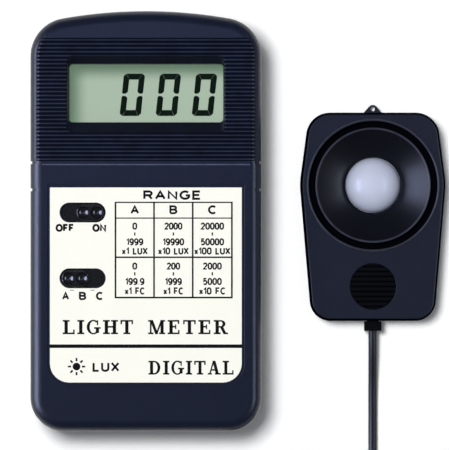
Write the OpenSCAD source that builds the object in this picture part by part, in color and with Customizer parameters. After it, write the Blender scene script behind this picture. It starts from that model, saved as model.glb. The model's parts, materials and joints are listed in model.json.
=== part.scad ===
// Handheld light meter: a display unit, and a separate sensor head on a coiled lead that ends in a plug.
// Millimetres. +Z points out of the display face and +Y from the battery end to the display end.
// The origin is the middle of the display unit's flat back, and everything lies on the plane z = 0.

/* [Case] */
// Width across the display face
case_w = 72; // [72:0.5:74]
// Length from the battery end to the crown of the display end
case_l = 131; // [131:0.5:134]
// Thickness from the back to the display face
case_h = 25; // [25:0.1:25.6]
// Wall of both shells
wall = 2.2; // [2:0.1:2.3]
// Rounded edge round the display face
front_edge_r = 3.6; // [3:0.1:3.8]
// Rounded edge round the back
back_edge_r = 2.4; // [1.6:0.1:2.6]
// Radius of the two corners at the battery end
foot_corner_r = 10.5; // [9:0.5:11]
// Radius of the two corners at the display end
top_corner_r = 12; // [10:0.5:13]
// Radius of the shallow arc across the display end
top_arc_r = 150; // [130:5:180]

/* [Display face] */
// Distance between the fine ribs
rib_pitch = 1.2; // [1.1:0.05:1.2]
// Number of grooves between the ribs
rib_count = 32; // [20:1:32]
// Depth of the grooves
rib_depth = 0.4; // [0.2:0.1:0.6]
// Width of the display opening at the glass
window_w = 48.2; // [46:0.1:49]
// Height of the display opening at the glass
window_l = 18.3; // [17:0.1:19]
// Width of the printed label
label_w = 59.8; // [58:0.1:60]
// Height of the printed label
label_l = 60.8; // [60:0.1:61]

/* [Switches] */
// Length of the slot that each switch knob slides in
slot_l = 14; // [13.8:0.1:14.4]
// Width of the slot
slot_w = 5.8; // [5.6:0.1:6]
// Travel of a knob from one end to the other
knob_travel = 4.6; // [4:0.1:4.8]

/* [Sensor head] */
// Thickness of the head without its dome
head_h = 11; // [11:0.1:11.6]
// Radius of the white dome
dome_r = 8.6; // [8:0.1:8.7]
// Radius of the round opening that holds the dish
dish_r = 20.1; // [20:0.1:20.3]

/* [Lead] */
// Diameter of the lead
cord_d = 2.8; // [2.6:0.1:2.8]
// Radius of the coil at the middle of its turns
coil_r = 16.8; // [16.8:0.1:17]

/* [Hidden] */
$fn = 48;
hull_fn = 40; // segments of the round parts inside a hull
eps = 0.01;

// Case outline: discs whose hull is the case, as [x, y, radius]
arc_y = case_l / 2 - top_arc_r;
arc_swing = asin((case_w / 2 - top_corner_r) / (top_arc_r - top_corner_r));
case_discs = concat(
    [for (s = [-1, 1]) [s * (case_w / 2 - foot_corner_r), foot_corner_r - case_l / 2, foot_corner_r]],
    [for (i = [-3:3]) let (a = i / 3 * arc_swing)
        [(top_arc_r - top_corner_r) * sin(a), arc_y + (top_arc_r - top_corner_r) * cos(a), top_corner_r]]
);
split_z = 12; // where the two shells meet
floor_t = 2.4; // floor of the rear shell
ceiling_z = case_h - wall;

// Fastenings of the case, and of the board on the front shell
case_screw_at = [[-27.5, 57], [27.5, 57], [-29.5, -56], [29.5, -56]];
board_screw_at = [[-29, 22.5], [29, 22.5], [-28, -26.5], [28, -26.5]];
boss_r = 3.1;
post_r = 2.1;
board_z = 15;
board_t = 1.6;
board_top = board_z + board_t;

// Features of the display face
window_y = 39.95; // middle of the glass opening
rib_top_y = 56.8;
groove_y = 18.3; // groove that closes the ribbed field and runs round the sides
notch_y = 9.8; // second groove, on the sides only
groove_w = 0.9;
groove_d = 0.5;
label_y = -19.9;
label_t = 0.35;
label_corner_r = 6;
recess_d = 0.45;
recess_gap = 0.8;
switch_x = -19.7;
power_y = 2.7;
range_y = -17.8;
switch_ys = [power_y, range_y];

// Battery bay
cover_top_z = 2.2;
cover_step_z = 1.2;
cover_w = 48;
cover_flange_w = 51;
cover_end_y = -33.5;
battery_x = [-25.7, 20.3];
battery_y = -49.5;
battery_z = 11.5;
battery_size = [46, 26.2, 17.2];
terminal_off = 6.35;

// Jack, its axis in the plane where the shells meet
jack_mouth_y = case_l / 2 - 0.2;
jack_depth = 14.3;
jack_bore_r = 1.8;
jack_nose_r = 2.9;

// Sensor head, in its own frame with the dome on the origin
head_at = [71, 11.25, 0];
head_discs = [[0, 0, 22.8], [-13.4, 15.3, 7.5], [13.4, 15.3, 7.5], [-13.3, -36, 6.5], [13.3, -36, 6.5]];
head_split_z = 4;
head_screw_at = [[-16.5, 17.5], [16.5, 17.5], [-14.5, -36.5], [14.5, -36.5]];
head_floor_t = 1.4;
dome_top_z = 12.4;
dome_seat_z = 5.5;
pad_at = [0, -31.7];
pad_r = 7.1;
gland_z = 4.2;
lanyard_y = 23.8;

// Lead: down from the gland to the surface, round the coil, and out to the plug
coil_at = [71 - coil_r - 1.5 * cord_d, -96];
cord_lead_route = [
    [71, -34.4, 4.2], [71, -37, 4.2], [71, -41, 3.9], [71, -46, 3], [71, -51, 2.1], [71, -56, 1.6],
    [71, -62, 1.4], [71, -68, 1.4], [71, -74, 1.4], [71, -80, 1.4], [71, -86, 1.4]
];
cord_tail_route = [
    [43, -117, 4.2], [38, -117.1, 3.8], [33, -116.9, 2.9], [28, -116.1, 2], [23, -114.9, 1.6],
    [18.5, -113.9, 2], [14.5, -113, 3.1], [11, -112.8, 4.2], [7, -112.8, 4.2]
];
plug_at = [7, -112.8, 4.2];
plug_pin_r = 1.75;

// Wires inside the case, from the battery snap to the back of the board
red_route = [[23.3, -38.5, 15.4], [23.3, -35.5, 15.6], [22.6, -32.5, 14.9], [21.5, -29.5, 14], [20.5, -27, 14.4]];
black_route = [[23.8, -44, 13.4], [23.8, -40, 13.2], [23.3, -36, 13.1], [20, -32, 13], [17, -29.5, 13.7], [15.5, -27, 14.4]];

function unit(v) = v / norm(v);

// ---- shared shapes ----

// A disc whose lower and upper rims are rounded by low and high.
module puck(r, h, low, high) {
    rotate_extrude($fn = hull_fn)
        polygon(concat(
            [[0, 0]],
            low > 0 ? [for (a = [-90:22.5:0]) [r - low + low * cos(a), low + low * sin(a)]] : [[r, 0]],
            high > 0 ? [for (a = [0:22.5:90]) [r - high + high * cos(a), h - high + high * sin(a)]] : [[r, h]],
            [[0, h]]
        ));
}

module rounded_block(discs, z0, z1, low, high) {
    hull()
        for (d = discs)
            translate([d[0], d[1], z0])
                puck(d[2], z1 - z0, low, high);
}

// Straight-walled block of the same outline, drawn in by inset.
module prism(discs, z0, z1, inset) {
    translate([0, 0, z0])
        linear_extrude(z1 - z0)
            hull()
                for (d = discs)
                    translate([d[0], d[1]])
                        circle(d[2] - inset, $fn = hull_fn);
}

module box(x, y, z) {
    translate([x[0], y[0], z[0]])
        cube([x[1] - x[0], y[1] - y[0], z[1] - z[0]]);
}

module rod(at, r, z0, z1) {
    translate([at[0], at[1], z0])
        cylinder(h = z1 - z0, r = r);
}

// Cylinder along +Y.
module rod_y(x, z, r, y0, y1) {
    translate([x, y0, z])
        rotate([-90, 0, 0])
            cylinder(h = y1 - y0, r = r);
}

// Cylinder or cone along -X.
module rod_x(at, r0, r1, x0, x1) {
    translate([at[0] - x0, at[1], at[2]])
        rotate([0, -90, 0])
            cylinder(h = x1 - x0, r1 = r0, r2 = r1);
}

module stadium(l, w, h) {
    linear_extrude(h)
        union() {
            square([l - w, w], center = true);
            for (s = [-1, 1])
                translate([s * (l - w) / 2, 0])
                    circle(w / 2);
        }
}

// Closed tube swept along a route; no stretch of the route may be vertical.
module tube(route, r, sides = 8) {
    last = len(route) - 1;
    rings = [
        for (i = [0:last])
            let (along = unit(route[min(i + 1, last)] - route[max(i - 1, 0)]),
                 side = unit(cross(along, [0, 0, 1])),
                 up = cross(side, along))
            for (k = [0:sides - 1])
                let (a = 360 * (k + 0.5) / sides)
                route[i] + r * (cos(a) * side + sin(a) * up)
    ];
    walls = [
        for (i = [0:last - 1], k = [0:sides - 1])
            let (a = i * sides + k, b = i * sides + (k + 1) % sides)
            [a, b, b + sides, a + sides]
    ];
    caps = [[for (k = [sides - 1:-1:0]) k], [for (k = [0:sides - 1]) last * sides + k]];
    polyhedron(points = rings, faces = concat(walls, caps), convexity = 8);
}

// ---- case ----

module side_grooves(y) {
    for (s = [-1, 1])
        translate([s * case_w / 2, y, case_h / 2])
            cube([2 * groove_d, groove_w, case_h + 2], center = true);
}

module rib_grooves() {
    for (i = [0:rib_count - 1])
        translate([0, rib_top_y - i * rib_pitch, case_h])
            cube([case_w, rib_pitch / 2, 2 * rib_depth], center = true);
    translate([0, groove_y, case_h])
        cube([case_w, groove_w, 2 * groove_d], center = true);
}

// Opening of the display: narrow sloping sides, and wider slopes above and below the glass.
module window_cut() {
    hull() {
        translate([0, window_y - 0.6, case_h + 1])
            linear_extrude(eps)
                square([window_w + 1.9, window_l + 8.1], center = true);
        translate([0, window_y, ceiling_z - 0.2])
            linear_extrude(eps)
                square([window_w, window_l], center = true);
    }
}

module label_outline(grow) {
    w = label_w + 2 * grow;
    l = label_l + 2 * grow;
    r = label_corner_r + grow;
    translate([0, label_y])
        union() {
            translate([-w / 2, r - l / 2])
                square([w, l - r]);
            translate([r - w / 2, -l / 2])
                square([w - 2 * r, r + eps]);
            for (s = [-1, 1])
                translate([s * (w / 2 - r), r - l / 2])
                    circle(r);
        }
}

module front_case() {
    color("#232943")
        difference() {
            union() {
                difference() {
                    rounded_block(case_discs, split_z, case_h, 0, front_edge_r);
                    prism(case_discs, split_z - 1, ceiling_z, wall);
                }
                for (p = case_screw_at)
                    rod(p, boss_r, split_z, ceiling_z + 0.5);
                for (p = board_screw_at)
                    rod(p, post_r, board_top, ceiling_z + 0.5);
            }
            window_cut();
            translate([0, 0, case_h - recess_d])
                linear_extrude(1)
                    label_outline(recess_gap);
            for (y = switch_ys)
                translate([switch_x, y, ceiling_z - 1])
                    stadium(slot_l, slot_w, wall + 2);
            rib_grooves();
            side_grooves(groove_y);
            side_grooves(notch_y);
            rod_y(0, split_z, jack_nose_r + 0.1, case_l / 2 - 5, case_l / 2 + 1);
            for (p = case_screw_at)
                rod(p, 1.25, split_z - 1, 21);
            for (p = board_screw_at)
                rod(p, 0.95, board_top - 1, 21);
        }
}

module cover_channel(gap) {
    half = cover_w / 2 + gap;
    flange = cover_flange_w / 2 + gap;
    box([-half, half], [-case_l / 2 - 1, cover_end_y + gap], [-1, cover_step_z + eps]);
    box([-flange, flange], [-case_l / 2 - 1, cover_end_y + gap], [cover_step_z - gap / 2, cover_top_z + gap]);
}

module rear_case() {
    color("#1d2238")
        difference() {
            union() {
                difference() {
                    rounded_block(case_discs, 0, split_z, back_edge_r, 0);
                    prism(case_discs, floor_t, split_z + 1, wall);
                }
                for (p = case_screw_at)
                    rod(p, boss_r + 0.4, 1, split_z);
                box([-34, 34], [-33.2, -31.8], [1, split_z]);
            }
            cover_channel(0.2);
            side_grooves(groove_y);
            side_grooves(notch_y);
            rod_y(0, split_z, jack_nose_r + 0.1, case_l / 2 - 5, case_l / 2 + 1);
            for (p = case_screw_at) {
                rod(p, 2.9, -1, 4);
                rod(p, 1.6, 3, split_z + 1);
            }
        }
}

// Slides out of the battery end on a flange each side; finger ridges on its outer face.
module battery_cover() {
    color("#1d2238")
        difference() {
            intersection() {
                rounded_block(case_discs, 0, split_z, back_edge_r, 0);
                union() {
                    box([-cover_w / 2, cover_w / 2], [-case_l / 2, cover_end_y], [0, cover_step_z + eps]);
                    box([-cover_flange_w / 2, cover_flange_w / 2], [-case_l / 2, cover_end_y],
                        [cover_step_z, cover_top_z]);
                }
            }
            for (i = [0:4])
                box([-9, 9], [-58 + 2 * i, -57 + 2 * i], [-1, 0.4]);
        }
}

module case_screws() {
    color("silver")
        for (p = case_screw_at)
            difference() {
                union() {
                    rod(p, 2.7, 2.2, 4);
                    rod(p, 1.2, 4 - eps, 19.5);
                }
                translate([p[0], p[1], 2.7])
                    cube([4, 0.7, 1.4], center = true);
                translate([p[0], p[1], 2.7])
                    cube([0.7, 4, 1.4], center = true);
            }
}

module face_label() {
    color("#fbfaf0")
        difference() {
            translate([0, 0, case_h - recess_d])
                linear_extrude(label_t)
                    label_outline(0);
            for (y = switch_ys)
                translate([switch_x, y, case_h - 2])
                    stadium(slot_l + 0.2, slot_w + 0.2, 4);
        }
}

// ---- display ----

pane_t = 0.8;
glass_z = 18.9;
glass_y = window_y + 0.05;
glass_w = 54;
glass_l = 23;
bezel_top = ceiling_z - pane_t;

module lcd_window() {
    color("#dfe8e4", 0.4)
        box([-27.4, 27.4], [glass_y - 12.2, glass_y + 12.2], [bezel_top, ceiling_z]);
}

module lcd_bezel() {
    w = glass_w + 0.4;
    l = glass_l + 0.4;
    color("#30343c")
        difference() {
            box([-28.6, 28.6], [glass_y - 13, glass_y + 13], [board_top, bezel_top]);
            box([-w / 2, w / 2], [glass_y - l / 2, glass_y + l / 2], [board_top - 1, bezel_top - 0.5]);
            box([-25.5, 25.5], [glass_y - 10, glass_y + 10], [board_top, bezel_top + 1]);
        }
}

// Two panes, the upper one shorter so that its contacts are bare along both edges.
module lcd_glass() {
    color("#a9bda9")
        union() {
            box([-glass_w / 2, glass_w / 2], [glass_y - glass_l / 2, glass_y + glass_l / 2],
                [glass_z, glass_z + 1.1]);
            box([-glass_w / 2, glass_w / 2], [glass_y - glass_l / 2 + 1.2, glass_y + glass_l / 2 - 1.2],
                [glass_z + 1.1 - eps, glass_z + 2.2]);
        }
}

module lcd_reflector() {
    color("#c9d2c4")
        box([-26, 26], [glass_y - 8.4, glass_y + 8.4], [glass_z - 0.3, glass_z]);
}

module zebra_strips() {
    color("#3a3a40")
        for (s = [-1, 1])
            box([-25, 25], [glass_y + s * 10 - 0.9, glass_y + s * 10 + 0.9], [board_top, glass_z]);
}

// ---- board and what is on it ----

module main_board() {
    color("#1f6b3a")
        difference() {
            box([-31.5, 31.5], [-30, 53.4], [board_z, board_top]);
            for (p = board_screw_at)
                rod(p, 1.3, board_z - 1, board_top + 1);
        }
}

module board_screws() {
    color("silver")
        for (p = board_screw_at)
            difference() {
                union() {
                    rod(p, 2, board_z - 1.4, board_z);
                    rod(p, 0.9, board_z - eps, 20);
                }
                translate([p[0], p[1], board_z - 1.4])
                    cube([3, 0.6, 1.2], center = true);
            }
}

// Metal-cased slide switch under a knob, open along the top for its slider.
module slide_switch(y) {
    color("#b9bcc2")
        difference() {
            box([switch_x - 8, switch_x + 8], [y - 3.4, y + 3.4], [board_top, 21.4]);
            box([switch_x - 5.6, switch_x + 5.6], [y - 1.7, y + 1.7], [18.4, 22]);
        }
}

module slider(x, y) {
    color("#101114")
        box([x - 2, x + 2], [y - 1.5, y + 1.5], [18.5, 22.9]);
}

// Knob on a sliding cover plate that hides the slot's inside; a low ridge across its top is for the finger.
module slide_knob(x, y) {
    color("#0c0d10")
        difference() {
            union() {
                box([x - 9.8, x + 9.8], [y - 4, y + 4], [21.7, 22.6]);
                translate([x, y, 22.5])
                    stadium(8.6, 5.2, case_h - 22.5);
                box([x - 0.5, x + 0.5], [y - 2, y + 2], [case_h - 0.1, case_h + 0.7]);
            }
            box([x - 2.05, x + 2.05], [y - 1.55, y + 1.55], [21, 23]);
        }
}

power_x = switch_x + knob_travel / 2;
range_x = switch_x - knob_travel / 2;

module power_switch() { slide_switch(power_y); }
module power_slider() { slider(power_x, power_y); }
module power_knob() { slide_knob(power_x, power_y); }
module range_switch() { slide_switch(range_y); }
module range_slider() { slider(range_x, range_y); }
module range_knob() { slide_knob(range_x, range_y); }

pin_pitch = 2.54;

// A bent leg from a chip's side to the back of the board.
module chip_legs(x, y0, y1, n) {
    color("silver")
        for (i = [0:n - 1], s = [-1, 1]) {
            y = s < 0 ? y0 : y1;
            px = x + (i - (n - 1) / 2) * pin_pitch;
            union() {
                box([px - 0.6, px + 0.6], [min(y, y + s * 0.8), max(y, y + s * 0.8)], [12.3, 12.6]);
                box([px - 0.25, px + 0.25], [min(y + s * 0.5, y + s * 0.8), max(y + s * 0.5, y + s * 0.8)],
                    [12.3, board_z]);
            }
        }
}

module converter_chip() {
    color("#15161a")
        difference() {
            box([-25.8, 25.8], [1.6, 15.3], [10.6, 14.3]);
            rod([-25.8, 8.45], 1.6, 10, 11.2);
        }
}

module converter_pins() { chip_legs(0, 1.6, 15.3, 20); }

module amplifier_chip() {
    color("#15161a")
        box([12, 21.6], [-12, -5.6], [11, 14.3]);
}

module amplifier_pins() { chip_legs(16.8, -12, -5.6, 4); }

trimmer_at = [[-22, -12], [-12, -12], [-2, -12]];

module trimmer_bodies() {
    color("#2b5fa8")
        for (p = trimmer_at)
            difference() {
                box([p[0] - 3.5, p[0] + 3.5], [p[1] - 3.5, p[1] + 3.5], [10.4, board_z]);
                rod(p, 1.8, 9, 12.6);
            }
}

module trimmer_rotor(p) {
    color("#e8e2d0")
        difference() {
            rod(p, 1.72, 9.8, 12.5);
            translate([p[0], p[1], 9.8])
                cube([2.6, 0.6, 1.2], center = true);
        }
}

module film_capacitors() {
    color("#b3452c")
        for (i = [0:3])
            box([-26 + 8 * i, -19.5 + 8 * i], [-22.5, -19.7], [8.5, board_z]);
}

module electrolytic_capacitor() {
    color("#20304a")
        rod_y(13, 12.2, 2.5, -26.5, -17);
}

module resistors() {
    color("#c8ab7a")
        for (i = [0:3], s = [0, 1]) {
            x = -20 + 12 * i;
            y = 26 + 5 * s;
            union() {
                translate([x - 3, y, 13.2])
                    rotate([0, 90, 0])
                        cylinder(h = 6, r = 1.1);
                translate([x - 4.6, y, 13.2])
                    rotate([0, 90, 0])
                        cylinder(h = 9.2, r = 0.3, $fn = 16);
                for (e = [-4.4, 4.4])
                    rod([x + e, y], 0.25, 13.2, board_z);
            }
        }
}

module sensor_jack() {
    color("#101114")
        difference() {
            union() {
                box([-4, 4], [jack_mouth_y - jack_depth - 1.5, case_l / 2 - 2.6], [split_z - 3, board_z]);
                rod_y(0, split_z, jack_nose_r, case_l / 2 - 3, jack_mouth_y);
            }
            rod_y(0, split_z, jack_bore_r, jack_mouth_y - jack_depth, jack_mouth_y + 1);
        }
}

module jack_contacts() {
    color("#d9c074")
        for (s = [-1, 1])
            box([min(s * 4, s * 4.4), max(s * 4, s * 4.4)], [52, 60], [split_z - 2, board_z]);
}

// ---- battery ----

module battery() {
    r = 2;
    h = battery_size[2];
    l = battery_size[1];
    color("#2c2c30")
        translate([battery_x[0], battery_y, battery_z])
            rotate([90, 0, 90])
                linear_extrude(battery_x[1] - battery_x[0])
                    union() {
                        square([l - 2 * r, h], center = true);
                        square([l, h - 2 * r], center = true);
                        for (a = [-1, 1], b = [-1, 1])
                            translate([a * (l / 2 - r), b * (h / 2 - r)])
                                circle(r);
                    }
}

module battery_terminals() {
    color("#c9ccd0")
        for (s = [-1, 1])
            translate([battery_x[1], battery_y + s * terminal_off, battery_z])
                rotate([0, 90, 0])
                    cylinder(h = 2.6, r = s < 0 ? 3.7 : 2.9);
}

module battery_snap() {
    color("#141416")
        difference() {
            box([battery_x[1] + 0.2, battery_x[1] + 4.4], [battery_y - 12, battery_y + 12],
                [battery_z - 5.5, battery_z + 5.5]);
            for (s = [-1, 1])
                translate([battery_x[1] - 1, battery_y + s * terminal_off, battery_z])
                    rotate([0, 90, 0])
                        cylinder(h = 3.8, r = s < 0 ? 3.8 : 3);
        }
}

module red_lead() { color("#b5221c") tube(red_route, 0.7); }
module black_lead() { color("#18181a") tube(black_route, 0.7); }

module battery_foam() {
    color("#4a4a4e")
        box([-20, 14], [battery_y - 9, battery_y + 9], [battery_z + battery_size[2] / 2, ceiling_z]);
}

// ---- sensor head, in its own frame until the node modules place it ----

module head_place() { translate(head_at) children(); }

module head_screw_holes(head, shaft) {
    for (p = head_screw_at) {
        rod(p, head, -1, 1.6);
        rod(p, shaft, 1, 9);
    }
}

module head_front() {
    color("#232943")
        head_place()
            difference() {
                rounded_block(head_discs, head_split_z, head_h, 0, 1.1);
                rod([0, 0], dish_r, head_split_z - 1, head_h + 1);
                rod(pad_at, pad_r + 0.1, head_h - 1, head_h + 1);
                box([-11.5, 11.5], [-39.3, -15], [head_split_z - 1, head_h - 2.2]);
                rod_y(0, gland_z, 1.95, -44, -38);
                for (p = head_screw_at)
                    rod(p, 1, head_split_z - 1, 9);
            }
}

// Back plate with the ring that carries the dome's flange, and the pierced tab for a lanyard.
module head_rear() {
    color("#1d2238")
        head_place()
            difference() {
                union() {
                    difference() {
                        rounded_block(head_discs, 0, head_split_z, 0.9, 0);
                        rod([0, 0], 18.6, head_floor_t, head_split_z + 1);
                        box([-11.5, 11.5], [-39.3, -15], [head_floor_t, head_split_z + 1]);
                    }
                    difference() {
                        rod([0, 0], 11.3, head_floor_t - 0.2, 4.8);
                        rod([0, 0], 9.7, head_floor_t - 1, 5);
                        box([-3, 3], [-12, -8], [head_floor_t, 5]);
                    }
                    translate([0, 0, 1])
                        linear_extrude(2)
                            union() {
                                polygon([[-3.4, 22.3], [3.4, 22.3], [3.4, 22.8], [1, 24.85], [-1, 24.85], [-3.4, 22.8]]);
                                translate([0, lanyard_y])
                                    circle(1.45);
                            }
                }
                rod([0, lanyard_y], 0.75, 0, 4);
                rod_y(0, gland_z, 1.95, -44, -38);
                head_screw_holes(2.1, 1.1);
            }
}

module head_screws() {
    color("silver")
        head_place()
            for (p = head_screw_at)
                difference() {
                    union() {
                        rod(p, 2, 0.3, 1.6);
                        rod(p, 0.95, 1.6 - eps, 8.6);
                    }
                    translate([p[0], p[1], 0.3])
                        cube([3, 0.6, 1.2], center = true);
                }
}

// Shallow cone round the dome, with a raised rim and a sunk ledge outside it.
module dish() {
    rim_r = 17.4;
    out_r = dish_r - 0.1;
    color("#101118")
        head_place()
            rotate_extrude($fn = 96)
                polygon([
                    [out_r, head_split_z], [out_r, 8.2], [18.3, 8.2], [18.1, 10.6], [17.8, 10.8],
                    [rim_r, 10.7], [9.5, 6.6], [9, 6.3], [9, dome_seat_z + 0.1], [11.9, dome_seat_z + 0.1],
                    [16.8, 8.6], [17.3, 7.1], [18.7, 7.1], [18.7, head_split_z]
                ]);
}

module dome() {
    skin = 1.2;
    rise = dome_top_z - dome_seat_z;
    color("#eef0f6")
        head_place()
            rotate_extrude($fn = 96)
                polygon(concat(
                    [[dome_r - skin, 4.8], [11.2, 4.8], [11.2, dome_seat_z], [dome_r, dome_seat_z]],
                    [for (a = [9:9:81]) [dome_r * cos(a), dome_seat_z + rise * sin(a)]],
                    [[0, dome_top_z], [0, dome_top_z - skin]],
                    [for (a = [81:-9:9]) [(dome_r - skin) * cos(a), dome_seat_z + (rise - skin) * sin(a)]]
                ));
}

module light_filter() {
    color("#7fb27a", 0.6)
        head_place()
            rod([0, 0], 5.4, 4, 4.8);
}

module photodiode() {
    color("#3c3f55")
        head_place()
            rod([0, 0], 4.8, 2.4, 4);
}

module head_board() {
    color("#1f6b3a")
        head_place()
            rod([0, 0], 9.5, head_floor_t, 2.4);
}

// Round finger rest with straight ribs across it.
module thumb_pad() {
    color("#08080a")
        head_place()
            translate([pad_at[0], pad_at[1], 0])
                union() {
                    rod([0, 0], pad_r, head_h - 1, head_h - 0.7);
                    intersection() {
                        rod([0, 0], pad_r - 0.3, head_h - 1, head_h - 0.2);
                        for (i = [-4:4])
                            box([-8, 8], [1.5 * i - 0.4, 1.5 * i + 0.4], [head_h - 0.8, head_h]);
                    }
                }
}

module head_leads() {
    color("#b5221c")
        head_place()
            for (s = [-1, 1])
                tube([[s * 1.2, -37.3, 4.2], [s * 1.4, -33, 4], [s * 1.6, -26, 3.4], [s * 1.6, -18, 3.1],
                      [s * 1.5, -9.4, 2.8]], 0.5);
}

// Gland: a block outside the wall, a neck through it and a flange inside.
module cable_gland() {
    color("#08080a")
        head_place()
            union() {
                box([-2.7, 2.7], [-45.6, -42.7], [gland_z - 2.6, gland_z + 2.6]);
                rod_y(0, gland_z, 1.85, -43, -38.8);
                rod_y(0, gland_z, 2.6, -39.2, -37.4);
            }
}

// ---- lead and plug ----

module cord_lead() { color("#16181c") tube(cord_lead_route, cord_d / 2); }

// Outer shape of the wound lead: two layers of four turns, one on the other.
module cord_coil() {
    half = 2 * cord_d;
    color("#16181c")
        translate([coil_at[0], coil_at[1], 0])
            rotate_extrude($fn = 96)
                polygon([
                    [coil_r - half, 0.6], [coil_r - half + 0.6, 0], [coil_r + half - 0.6, 0], [coil_r + half, 0.6],
                    [coil_r + half, half - 0.6], [coil_r + half - 0.6, half], [coil_r - half + 0.6, half],
                    [coil_r - half, half - 0.6]
                ]);
}

// Tie that holds the turns together, on the side of the coil away from the head.
module cord_tie() {
    half = 2 * cord_d;
    color("#08080a")
        translate([coil_at[0] - coil_r, coil_at[1], 0])
            difference() {
                box([-half - 0.6, half + 0.6], [-1.6, 1.6], [0, half + 0.6]);
                box([-half, half], [-2, 2], [-1, half]);
            }
}

module cord_tail() { color("#16181c") tube(cord_tail_route, cord_d / 2); }

module plug_boot() { color("#101114") rod_x(plug_at, 1.9, 3, 0, 9); }

module plug_cover() {
    color("#1c1d21")
        union() {
            rod_x(plug_at, 4.2, 4.2, 9, 25);
            rod_x(plug_at, 4.2, 3.4, 25 - eps, 26.5);
        }
}

module plug_sleeve() { color("#d8d9dc") rod_x(plug_at, plug_pin_r, plug_pin_r, 26.5, 35.1); }
module plug_insulator() { color("#101114") rod_x(plug_at, 1.5, 1.5, 35.1, 36); }

// Tip with the waist that the jack's spring catches.
module plug_tip() {
    color("#d8d9dc")
        translate([plug_at[0] - 36, plug_at[1], plug_at[2]])
            rotate([0, -90, 0])
                rotate_extrude()
                    polygon([[0, 0], [1.5, 0], [1.5, 1.4], [1.1, 2.1], [1.1, 2.5], [1.6, 3.2], [1.5, 3.8], [0.4, 4.9], [0, 4.9]]);
}

// ---- nodes ----

front_case();
rear_case();
battery_cover();
case_screws();
face_label();
lcd_window();
lcd_bezel();
lcd_glass();
lcd_reflector();
zebra_strips();
main_board();
board_screws();
power_switch();
power_slider();
power_knob();
range_switch();
range_slider();
range_knob();
converter_chip();
converter_pins();
amplifier_chip();
amplifier_pins();
trimmer_bodies();
trimmer_rotor(trimmer_at[0]);  // trimmer_rotor_1
trimmer_rotor(trimmer_at[1]);  // trimmer_rotor_2
trimmer_rotor(trimmer_at[2]);  // trimmer_rotor_3
film_capacitors();
electrolytic_capacitor();
resistors();
sensor_jack();
jack_contacts();
battery();
battery_terminals();
battery_snap();
red_lead();
black_lead();
battery_foam();
head_front();
head_rear();
head_screws();
dish();
dome();
light_filter();
photodiode();
head_board();
thumb_pad();
head_leads();
cable_gland();
cord_lead();
cord_coil();
cord_tie();
cord_tail();
plug_boot();
plug_cover();
plug_sleeve();
plug_insulator();
plug_tip();
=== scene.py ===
"""Looks of a handheld light meter: the display unit, and a sensor head on a lead.

Shapes are built in millimetres and scaled to metres when they are placed; the frame is in metres.
"""
import json
from math import acos, asin, atan2, cos, hypot, pi, radians, sin, tan

import bmesh
import bpy
from mathutils import Matrix, Vector


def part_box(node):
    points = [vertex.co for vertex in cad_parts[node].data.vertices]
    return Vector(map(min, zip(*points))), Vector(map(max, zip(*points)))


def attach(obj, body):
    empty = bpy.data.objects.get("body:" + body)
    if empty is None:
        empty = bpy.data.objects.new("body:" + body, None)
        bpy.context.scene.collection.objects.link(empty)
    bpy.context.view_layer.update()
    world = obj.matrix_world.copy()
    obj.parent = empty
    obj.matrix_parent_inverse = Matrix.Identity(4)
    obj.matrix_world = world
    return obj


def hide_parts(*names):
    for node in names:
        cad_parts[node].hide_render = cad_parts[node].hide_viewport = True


MM = 0.001


# ---------------- the frame

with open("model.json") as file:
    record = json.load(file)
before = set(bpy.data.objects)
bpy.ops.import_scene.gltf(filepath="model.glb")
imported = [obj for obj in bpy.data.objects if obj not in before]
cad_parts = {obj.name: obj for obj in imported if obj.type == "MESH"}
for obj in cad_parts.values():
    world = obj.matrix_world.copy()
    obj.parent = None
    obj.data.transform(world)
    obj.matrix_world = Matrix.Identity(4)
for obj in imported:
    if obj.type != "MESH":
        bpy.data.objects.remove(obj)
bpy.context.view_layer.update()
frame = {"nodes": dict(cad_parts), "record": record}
nodes = frame["nodes"]


def box_mm(node):
    """Lowest and highest corner of a CAD node, in millimetres."""
    low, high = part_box(node)
    return low / MM, high / MM


case_low, case_high = box_mm("front_case")
label_low, label_high = box_mm("face_label")
glass_low, glass_high = box_mm("lcd_glass")
dome_low, dome_high = box_mm("dome")
dish_low, dish_high = box_mm("dish")
head_low, head_high = box_mm("head_front")
coil_low, coil_high = box_mm("cord_coil")
boot_low, boot_high = box_mm("plug_boot")

case_half_w = case_high.x
case_half_l = case_high.y
case_top = case_high.z
split_z = case_low.z
head_x = (dome_low.x + dome_high.x) / 2
head_y = (dome_low.y + dome_high.y) / 2
head_centre = Vector((head_x, head_y, 0))


# ---------------- camera

view_centre = Vector((24.5, -1.2, 20))
view_side = 140.4  # across the longer side of the picture, at the height of view_centre
sensor_w = 36
camera_z = 3000

lens_data = bpy.data.cameras.new("camera")
lens_data.sensor_width = sensor_w
lens_data.lens = sensor_w * (camera_z - view_centre.z) / view_side
lens_data.clip_start = 0.1
camera = bpy.data.objects.new("camera", lens_data)
bpy.context.scene.collection.objects.link(camera)
camera.location = Vector((view_centre.x, view_centre.y, camera_z)) * MM
bpy.context.scene.camera = camera


# ---------------- the lead

cord_d = 2.8
cord_z = cord_d / 2
skin_gap = 0.02  # keeps turns that touch from crossing
coil_slack = 0.1  # keeps the round lead inside the box of the CAD coil
coil_x = (coil_low.x + coil_high.x) / 2
coil_y = (coil_low.y + coil_high.y) / 2
coil_outer = (coil_high.x - coil_low.x) / 2 - cord_d / 2 - coil_slack
layer_turns = 4
steps_a_turn = 16

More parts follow.
